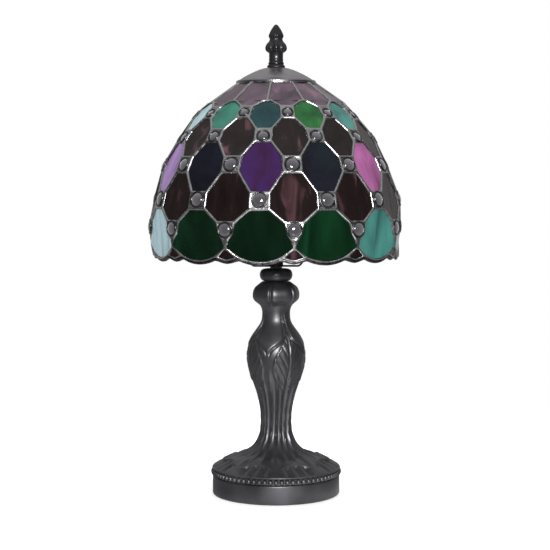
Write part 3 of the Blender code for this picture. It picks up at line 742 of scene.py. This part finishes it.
# the ring of solder round it: sides, its wire's radius, gap and height
RING_SIDES = 8
RING_WIRE_R = 0.85
RING_GAP = 0.55
RING_HEIGHT = 0.35
# the wire along the rim: its radius, how far below the glass its middle runs, and its dip at corners
RIM_WIRE_R = 1.5
RIM_WIRE_DROP = 0.9
RIM_CORNER_DIP = 0.6


def faces_in(normal, place):
    """Whether a normal at a place on the dome points inwards."""
    return normal.dot(place - DOME_INSIDE) < 0


def ease(bm, width):
    """Round off every edge sharper than 60 degrees."""
    edges = [edge for edge in bm.edges if len(edge.link_faces) == 2 and edge.calc_face_angle(0) > radians(60)]
    bmesh.ops.bevel(bm, geom=edges, offset=width, segments=2, profile=0.5, affect="EDGES", material=-1)


def flat_plate(outline):
    """A flat piece of glass over a cell: corners rounded, edges ground, thickness inwards."""
    corners = [dome_point(turn, down, PLATE_LIFT) for turn, down in outline]
    bm = bmesh.new()
    face = bm.faces.new([bm.verts.new(corner) for corner in reversed(corners)])
    bm.normal_update()
    centre = sum(corners, Vector()) / len(corners)
    normal = face.normal.copy()
    if faces_in(normal, centre):
        bmesh.ops.reverse_faces(bm, faces=[face])
        normal = -normal
    for vert in bm.verts:
        vert.co -= normal * normal.dot(vert.co - centre)
    shrunk = bmesh.ops.inset_individual(bm, faces=bm.faces[:], thickness=PLATE_GAP, use_even_offset=True)
    bmesh.ops.delete(bm, geom=shrunk["faces"], context="FACES")
    bmesh.ops.bevel(
        bm, geom=bm.verts[:], offset=CORNER_ROUND, segments=3, profile=0.5, affect="VERTICES", material=-1
    )
    extruded = bmesh.ops.extrude_face_region(bm, geom=bm.faces[:])
    moved = [item for item in extruded["geom"] if isinstance(item, bmesh.types.BMVert)]
    bmesh.ops.translate(bm, vec=-normal * GLASS, verts=moved)
    bmesh.ops.recalc_face_normals(bm, faces=bm.faces)
    ease(bm, EDGE_ROUND)
    wide = [face for face in bm.faces if len(face.verts) > 8]
    bmesh.ops.inset_individual(bm, faces=wide, thickness=PLATE_BORDER, use_even_offset=True)
    return bm


def build_glass():
    for row, column, is_jewel, outline in CELLS:
        if is_jewel:
            continue
        kinds = ROW_GLASS[row]
        kind = kinds[(column // 2) % len(kinds)]
        node = "glass_row_" + ("f" if row == "g" else row)
        name = f"glass_{row}_{column:02d}"
        piece(flat_plate(outline), name, "shade", GLASSES[kind], [node], sharp=30)


def seam_corners(outline):
    """The outline's corners, with more points along its longer sides, as (key, place)."""
    points = []
    for key, following in zip(outline, [*outline[1:], outline[0]]):
        here, there = dome_point(*key), dome_point(*following)
        length = (there - here).length
        points.append((key, here))
        ends = frozenset((key, following))
        if length > LONG_SIDE:
            near = RIM_SIDE_END if key[1] == RIM_CORNER[1] else SIDE_END
            far = RIM_SIDE_END if following[1] == RIM_CORNER[1] else SIDE_END
            for reach in (near, length - far):
                from_low = reach if key < following else length - reach
                points.append(((ends, round(from_low, 3)), here.lerp(there, reach / length)))
        elif length > SHORT_SIDE:
            points.append(((ends, 0), here.lerp(there, 0.5)))
    return points


def lifted(vert, lift, clear):
    """Raise a vertex off the dome, keeping it clear of the seams under the lowest jewels."""
    x, y, z = vert.co
    radius, turn = hypot(x, y), atan2(x, -y)
    if clear and dome_at(F_SEAM[0] - 4)[1] > z > dome_at(RIM_CORNER[1] - 1)[1]:
        pitch = 4 * pi / COLUMNS
        across = wrapped(turn, radians(FRONT_COLUMN) + pitch / 2, pitch)
        middle = dome_at(sum(F_SEAM) / 2)[1]
        room = clear * max(1 - (abs(z - middle) / FORK_REACH) ** 2, 0.0) / radius
        if abs(across) < room:
            turn += (room if across > 0 else -room) - across
    out = normal_near(x, y, z)
    vert.co = Vector((radius * sin(turn), -radius * cos(turn), z)) + out * lift


def build_solder():
    """All the seams as one web: a rounded bead over each joint, and a pad under each jewel."""
    bm = bmesh.new()
    corners = {}
    glass_faces, pad_faces = [], []
    for row, column, is_jewel, outline in CELLS:
        ring = seam_corners(outline)
        for key, place in ring:
            if key not in corners:
                corners[key] = bm.verts.new(place)
        face = bm.faces.new([corners[key] for key, place in reversed(ring)])
        (pad_faces if is_jewel else glass_faces).append(face)
    bm.normal_update()
    if faces_in(glass_faces[0].normal, glass_faces[0].calc_center_median()):
        bmesh.ops.reverse_faces(bm, faces=bm.faces)
    crest_layer = bm.verts.layers.float.new("crest")
    ridge = set(bm.verts)
    cells = glass_faces + pad_faces
    bmesh.ops.inset_individual(bm, faces=cells, thickness=SEAM * SHOULDER_SHARE, use_even_offset=True)
    shoulder = set(bm.verts) - ridge
    bmesh.ops.inset_individual(bm, faces=cells, thickness=SEAM * (1 - SHOULDER_SHARE), use_even_offset=True)
    pads = {vert for face in pad_faces for vert in face.verts}
    bmesh.ops.delete(bm, geom=glass_faces, context="FACES_ONLY")
    for vert in bm.verts:
        if vert in ridge:
            level = RIDGE
        elif vert in shoulder:
            level = SHOULDER
        else:
            level = PAD if vert in pads else SKIRT
        lift, brightness, clear = level
        vert[crest_layer] = brightness
        lifted(vert, lift, clear)
    extruded = bmesh.ops.extrude_face_region(bm, geom=bm.faces[:], use_keep_orig=True)
    inner = [item for item in extruded["geom"] if isinstance(item, bmesh.types.BMVert)]
    for vert in inner:
        vert.co -= normal_near(*vert.co) * (WEB_DEPTH if vert[crest_layer] > 0 else SKIRT_DEPTH)
    bmesh.ops.recalc_face_normals(bm, faces=bm.faces)
    piece(bm, "solder_web", "shade", LOOKS["solder"], ["solder_lattice"], sharp=0, soften=1)


def build_jewels():
    """A cabochon in a ring of solder on every jewel cell."""
    for row, column, is_jewel, outline in CELLS:
        if not is_jewel:
            continue
        down, radius = JEWELS[row]
        turn = spot(column, 0, down)[0]
        base, out = dome_point(turn, down, JEWEL_LIFT), dome_normal(turn, down)
        stand = Matrix.Translation(base) @ out.to_track_quat("Z", "Y").to_matrix().to_4x4()
        tilts = [pi / 2 * step / JEWEL_STEPS for step in range(JEWEL_STEPS + 1)]
        dome = [(radius * sin(tilt), JEWEL_DOME * radius * cos(tilt)) for tilt in tilts]
        gem = revolve([*dome, (radius, -JEWEL_FOOT), (0.0, -JEWEL_FOOT)], JEWEL_SIDES)
        bmesh.ops.transform(gem, matrix=stand, verts=gem.verts)
        piece(gem, f"jewel_{row}_{column:02d}", "shade", LOOKS["jewel"], sharp=50)
        rounds = [2 * pi * side / RING_SIDES for side in range(RING_SIDES)]
        ring_r = radius + RING_GAP
        circle = [(ring_r + RING_WIRE_R * cos(a), RING_HEIGHT + RING_WIRE_R * sin(a)) for a in rounds]
        ring = revolve(circle, JEWEL_SIDES, closed=True)
        bmesh.ops.transform(ring, matrix=stand, verts=ring.verts)
        piece(ring, f"jewel_ring_{row}_{column:02d}", "shade", LOOKS["solder"], sharp=0)


def build_rim():
    """The scalloped wire that edges the shade."""
    across, down = RIM_CORNER
    guides = []
    for column in range(0, COLUMNS, 2):
        guides.append(spot(column - 1, across, down + RIM_CORNER_DIP))
        guides += reversed(lobe_points(column, [quarter / 4 for quarter in range(3, -4, -1)]))
        guides.append(spot(column + 1, -across, down + RIM_CORNER_DIP))
        guides.append(spot(column + 1, 0, RIM_TRIANGLE_LOW))
    points = [tuple(dome_point(turn, low + RIM_WIRE_DROP, -GLASS / 2)) for turn, low in guides]
    rim = tube_along(smooth_path(points, 3, closed=True), RIM_WIRE_R, 10, closed=True)
    piece(rim, "rim_bead", "shade", LOOKS["solder"], ["rim_wire"], sharp=0)


def build_cap():
    guides = [
        (3.8, 341.7), (7.0, 341.6), (10.5, 340.9), (14.5, 339.6), (19.5, 337.4), (24.8, 334.7), (28.6, 332.3),
    ]
    top = smooth_path(guides, 5)
    edge = [
        (29.6, 331.6), (30.8, 331.5), (31.7, 330.8), (32.0, 329.8), (31.7, 328.8), (30.9, 328.2),
        (29.8, 328.4),
    ]
    under = [(28.6, 330.6), (23.8, 333.9), (14.0, 338.6), (9.0, 339.9), (3.8, 340.5)]
    piece(revolve(top + edge + under, 128, closed=True), "domed_cap", "shade", LOOKS["cap"],
          ["shade_cap"], sharp=50)


# ---- the finial --------------------------------------------------------------------------------
def finial_relief(angle, radius, height):
    rise = 0.0
    if 353.5 < height < 362.5:
        window = smoothstep(353.5, 355.5, height) * (1 - smoothstep(360.5, 362.5, height))
        rise += 0.55 * window * cos(radians(angle * 8))
    if 362.5 < height < 374.5:
        window = smoothstep(362.5, 364.5, height) * (1 - smoothstep(371.0, 374.5, height))
        leaf = wrapped(angle, 0.0, 60.0)
        rise += window * (0.35 * cos(radians(angle * 6)) - 0.5 * crest(leaf, 5.0))
    return rise


def build_finial():
    guides = [
        (0.0, 376.0), (1.4, 375.3), (3.0, 373.2), (4.4, 370.9), (5.4, 368.8), (6.1, 367.0), (5.9, 365.9),
        (5.3, 364.8), (5.5, 363.2), (6.4, 361.2), (7.5, 359.4), (8.1, 357.4), (7.8, 355.8), (7.0, 354.4),
        (5.9, 353.4),
    ]
    shank = [
        (5.6, 353.0), (5.6, 348.4), (5.75, 348.1), (5.75, 347.4), (5.5, 347.1), (5.6, 346.4), (6.2, 345.6),
        (6.2, 344.6), (5.9, 344.3),
    ]
    bore = [(3.4, 344.3), (3.4, 353.0), (0.0, 353.4)]
    bm = revolve(smooth_path(guides, 4) + shank + bore, 96)
    emboss(bm, finial_relief)
    piece(bm, "bud_finial", "finial", LOOKS["finial"], ["finial"], sharp=45)
    washer = [(3.5, 344.0), (6.3, 344.0), (6.7, 343.5), (7.2, 342.8), (7.2, 342.0), (3.5, 342.0)]
    piece(revolve(washer, 64, closed=True), "flared_washer", "finial_seat", LOOKS["black_steel"],
          ["finial_washer"], sharp=40)


# ---- harp, socket, bulb ------------------------------------------------------------------------
def build_harp():
    """The harp's wire loop and what holds it, from the left leg over the top to the right leg."""
    guides = [
        (21.4, 190.4), (21.4, 204.0), (21.4, 217.0), (26.5, 236.0), (32.5, 258.0), (34.2, 277.0),
        (31.4, 297.0), (24.6, 314.0), (16.0, 326.5), (8.0, 333.4), (0.0, 335.6),
    ]
    half = smooth_path(guides, 5)
    points = [(-x, 0.0, z) for x, z in half] + [(x, 0.0, z) for x, z in reversed(half[:-1])]
    wire = tube_along(points, 1.5, 12)
    piece(wire, "harp_loop", "stand", LOOKS["black_steel"], ["harp_wire"])
    for side, x in (("left", -22.5), ("right", 22.5)):
        build_ferrule(side, x)
    build_saddle()
    build_stud()


def build_ferrule(side, x):
    """A sleeve that slides over an ear of the saddle and a leg of the harp."""
    low, high = 189.2, 201.2
    profile = [
        (3.7, high), (4.3, high), (4.6, high - 0.4), (4.6, low + 0.9), (4.9, low + 0.5), (4.9, low),
        (3.7, low),
    ]
    bm = revolve(profile, 40, closed=True)
    bmesh.ops.translate(bm, vec=(x, 0, 0), verts=bm.verts)
    piece(bm, f"ferrule_{side}", f"sleeve_{side}", LOOKS["black_steel"],
          [f"harp_sleeve_{side}"])


def build_stud():
    """The threaded stud on top of the harp; its thread is a stack of ridges, not a helix."""
    stud = [(0.0, 352.4), (2.2, 352.4), (3.0, 351.6)]
    thread_low, thread_high, pitch = 339.4, 351.4, 0.94
    for turn in range(int((thread_high - thread_low) / pitch)):
        top = thread_high - turn * pitch
        stud += [(3.0, top), (2.65, top - pitch * 0.5)]
    stud += [(3.0, 338.9), (5.9, 338.9), (6.2, 338.6), (6.2, 337.6), (5.9, 337.4), (0.0, 337.4)]
    piece(revolve(stud, 40), "threaded_stud", "stand", LOOKS["brass"], ["harp_stud"], sharp=40)


def build_saddle():
    """The saddle strip: bent from a row of stations, thickened and eased at the edges."""
    middle, reach, flat = 182.8, 24.1, 18.6
    bm = bmesh.new()
    rows = []
    stations = [
        (-reach, 200.0, 4.4), (-reach, 188.6, 4.4), (-flat - 1.2, 183.9, 10.5), (-flat, 183.1, 12.0),
        (-flat + 1.2, middle, 12.0),
    ]
    stations += [(-x, z, width) for x, z, width in reversed(stations)]
    for x, z, width in stations:
        rows.append([bm.verts.new((x, side * width / 2, z)) for side in (-1, 1)])
    for low, high in zip(rows, rows[1:]):
        bm.faces.new((low[0], high[0], high[1], low[1]))
    bmesh.ops.recalc_face_normals(bm, faces=bm.faces)
    bmesh.ops.solidify(bm, geom=bm.faces[:], thickness=0.9)
    bmesh.ops.recalc_face_normals(bm, faces=bm.faces)
    ease(bm, 0.25)
    bmesh.ops.translate(bm, vec=(0, 0, 0.4), verts=bm.verts)
    piece(bm, "saddle_strip", "stand", LOOKS["black_steel"], ["harp_saddle"])


def build_socket():
    cap = [
        (5.2, 196.6), (6.6, 197.0), (13.6, 202.6), (14.2, 207.6), (15.0, 207.6), (15.2, 207.2), (15.2, 202.6),
        (14.8, 201.0), (13.6, 199.3), (11.4, 197.0), (9.0, 194.8), (7.6, 193.2), (7.2, 191.9), (6.9, 191.4),
        (5.2, 191.4),
    ]
    piece(revolve(cap, 72, closed=True), "socket_cup", "stand", LOOKS["black_steel"],
          ["socket_cap"])
    spacer = [(5.2, 191.0), (5.5, 191.0), (5.7, 190.8), (5.7, 184.2), (5.5, 184.0), (5.2, 184.0)]
    piece(revolve(spacer, 48, closed=True), "spacer", "stand", LOOKS["black_steel"],
          ["spacer_tube"])


def dress_cad_nodes():
    """Finishes for the frame's own pieces that keep their shape."""
    looks = {
        "base_weight": "iron", "bottom_washer": "zinc", "bottom_nut": "zinc", "cord_bushing": "plastic",
        "threaded_rod": "zinc", "socket_shell": "black_steel", "insulating_sleeve": "fibre",
        "lampholder_body": "porcelain", "screw_shell": "brass", "centre_contact": "brass",
        "switch_stem": "brass", "bulb_insulator": "plastic", "bulb_contact": "zinc",
        "crown_ring": "brass", "cap_washer": "zinc",
    }
    for name, look in looks.items():
        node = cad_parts[name]
        node.data.materials.clear()
        node.data.materials.append(LOOKS[look])


def build_bulb():
    """A round bulb and its screw cap; the cap's thread is a stack of ridges, not a helix."""
    globe_r, globe_middle, wall = 24.0, 281.0, 0.8
    stop = radians(128)
    steps = 14
    tilts = [stop * step / steps for step in range(steps + 1)]
    outer = [(globe_r * sin(tilt), globe_middle + globe_r * cos(tilt)) for tilt in tilts]
    neck = smooth_path([outer[-1], (16.2, 259.6), (14.6, 253.0), (13.4, 247.5), (13.2, 241.4)], 4)[1:]
    inner = [(max(r - wall, 0.0), z) for r, z in reversed(outer[1:] + neck)]
    inner_top = (0.0, globe_middle + globe_r - wall)
    piece(revolve([*outer, *neck, *inner, inner_top], 72), "bulb_globe", "bulb", LOOKS["bulb"],
          ["bulb_glass"], sharp=40)
    base = [(0.0, 241.1), (12.6, 241.1), (12.9, 240.7)]
    for turn in range(5):
        top = 240.0 - turn * 3.6
        base += [(12.9, top), (12.9, top - 0.8), (12.3, top - 1.8), (12.9, top - 2.8)]
    base += [(12.9, 222.4), (9.4, 220.6), (0.0, 220.6)]
    piece(revolve(base, 64), "bulb_screw_cap", "bulb", LOOKS["brass"], ["bulb_base"], sharp=30)


def build_knob():
    """The switch's knob: turned upright, fluted, then laid on its side at the socket's height."""
    guides = [
        (0.0, 31.0), (4.9, 31.0), (5.8, 30.6), (6.4, 29.8), (6.4, 22.4), (5.8, 21.2), (4.7, 20.2),
        (4.6, 17.4), (2.6, 17.4), (2.6, 27.4), (0.0, 27.4),
    ]
    flutes, flute_depth, fluted_from, socket_height = 12, 0.09, 5.0, 212.0
    bm = revolve(guides, 48)
    for vert in bm.verts:
        if hypot(vert.co.x, vert.co.y) > fluted_from:
            shrink = 1 - flute_depth * abs(sin(flutes / 2 * atan2(vert.co.x, vert.co.y)))
            vert.co.x *= shrink
            vert.co.y *= shrink
    bmesh.ops.rotate(bm, cent=(0, 0, 0), matrix=Matrix.Rotation(pi / 2, 3, "X"), verts=bm.verts)
    bmesh.ops.translate(bm, vec=(0, 0, socket_height), verts=bm.verts)
    piece(bm, "fluted_knob", "switch", LOOKS["plastic"], ["switch_knob"], sharp=40)


# ---- floor, light, camera ----------------------------------------------------------------------
def build_stage():
    """A round white floor. The lamp mirrors it bright in a narrow strip only, and dim at the sides."""
    white = (0.9, 0.9, 0.9)
    strip_middle, camera_glow = 0.012, 0.22
    bm = bmesh.new()
    bmesh.ops.create_circle(bm, cap_ends=True, segments=96, radius=0.5)
    mesh = bpy.data.meshes.new("floor")
    bm.to_mesh(mesh)
    bm.free()
    look = Look("floor_white", white, 0.9)
    where = look.node("ShaderNodeTexCoord")
    split = look.node("ShaderNodeSeparateXYZ")
    look.link(where.outputs["Object"], split.inputs[0])
    aside = look.node("ShaderNodeMath", operation="SUBTRACT")
    aside.inputs[1].default_value = strip_middle
    look.link(split.outputs["X"], aside.inputs[0])
    away = look.node("ShaderNodeMath", operation="ABSOLUTE")
    look.link(aside.outputs[0], away.inputs[0])
    mirrored = look.ramp(away.outputs[0], [(0.0, 0.95), (0.035, 0.85), (0.075, 0.14)])
    path = look.node("ShaderNodeLightPath")
    look.drive("Base Color", look.mix(path.outputs["Is Glossy Ray"], white, mirrored))
    # a little light of its own softens the shadow on it
    look.set("Emission Color", (1, 1, 1, 1))
    glow = look.node("ShaderNodeMath", operation="MULTIPLY")
    glow.inputs[1].default_value = camera_glow
    look.link(path.outputs["Is Camera Ray"], glow.inputs[0])
    look.drive("Emission Strength", glow.outputs[0])
    mesh.materials.append(look.material)
    floor_piece = bpy.data.objects.new("floor", mesh)
    bpy.context.scene.collection.objects.link(floor_piece)


def area_light(name, place, target, size, power, mirrored=True):
    """A square light aimed at the target; the lamp shows its reflection only if it is mirrored."""
    data = bpy.data.lights.new(name, "AREA")
    data.size = size
    data.energy = power
    made = bpy.data.objects.new(name, data)
    made.location = place
    made.rotation_euler = (Vector(target) - Vector(place)).to_track_quat("-Z", "Y").to_euler()
    made.visible_glossy = mirrored
    bpy.context.scene.collection.objects.link(made)


def eased_range(tree, source, low, high, from_low, from_high):
    """from_low up to low, from_high past high, and an eased slope between them."""
    made = tree.nodes.new("ShaderNodeMapRange")
    made.interpolation_type = "SMOOTHSTEP"
    for socket, value in zip(made.inputs[1:5], (low, high, from_low, from_high)):
        socket.default_value = value
    tree.links.new(source, made.inputs[0])
    return made.outputs[0]


def build_world():
    """White all round; where it is mirrored, dark in front and a soft grey above and behind."""
    world = bpy.data.worlds.new("studio")
    bpy.context.scene.world = world
    world.use_nodes = True
    tree = world.node_tree
    background = tree.nodes["Background"]
    where = tree.nodes.new("ShaderNodeTexCoord")
    split = tree.nodes.new("ShaderNodeSeparateXYZ")
    tree.links.new(where.outputs["Generated"], split.inputs[0])
    total = tree.nodes.new("ShaderNodeMath")
    total.operation = "ADD"
    tree.links.new(eased_range(tree, split.outputs["Z"], 0.35, 0.95, 0.0, 0.35), total.inputs[0])
    tree.links.new(eased_range(tree, split.outputs["Y"], 0.2, 1.0, 0.03, 0.34), total.inputs[1])
    path = tree.nodes.new("ShaderNodeLightPath")
    level = tree.nodes.new("ShaderNodeMix")
    factor, unmirrored, mirrored = level.inputs[0], level.inputs[2], level.inputs[3]
    tree.links.new(path.outputs["Is Glossy Ray"], factor)
    unmirrored.default_value = 1.0
    tree.links.new(total.outputs[0], mirrored)
    tree.links.new(level.outputs[0], background.inputs["Strength"])
    background.inputs["Color"].default_value = (1, 1, 1, 1)


def build_lights():
    middle = (0, 0, 0.2)
    area_light("front_softbox", (0.12, -1.7, 0.62), middle, 0.42, 26)
    area_light("top_softbox", (0.0, 0.35, 1.3), middle, 0.7, 10, mirrored=False)


def build_camera():
    looking_down = 3.48
    data = bpy.data.cameras.new("camera")
    data.sensor_width = 36.0
    data.lens = 98.02
    data.shift_x = -0.002
    data.shift_y = -0.0145
    made = bpy.data.objects.new("camera", data)
    made.location = (0.0, -1.2, 0.2557)
    made.rotation_euler = (radians(90 - looking_down), 0, 0)
    bpy.context.scene.collection.objects.link(made)
    bpy.context.scene.camera = made


build_camera()
build_world()
build_lights()
build_stage()
build_stand()
build_glass()
build_solder()
build_jewels()
build_rim()
build_cap()
build_finial()
build_harp()
build_socket()
build_bulb()
build_knob()
dress_cad_nodes()
bpy.context.scene.view_settings.view_transform = "Standard"
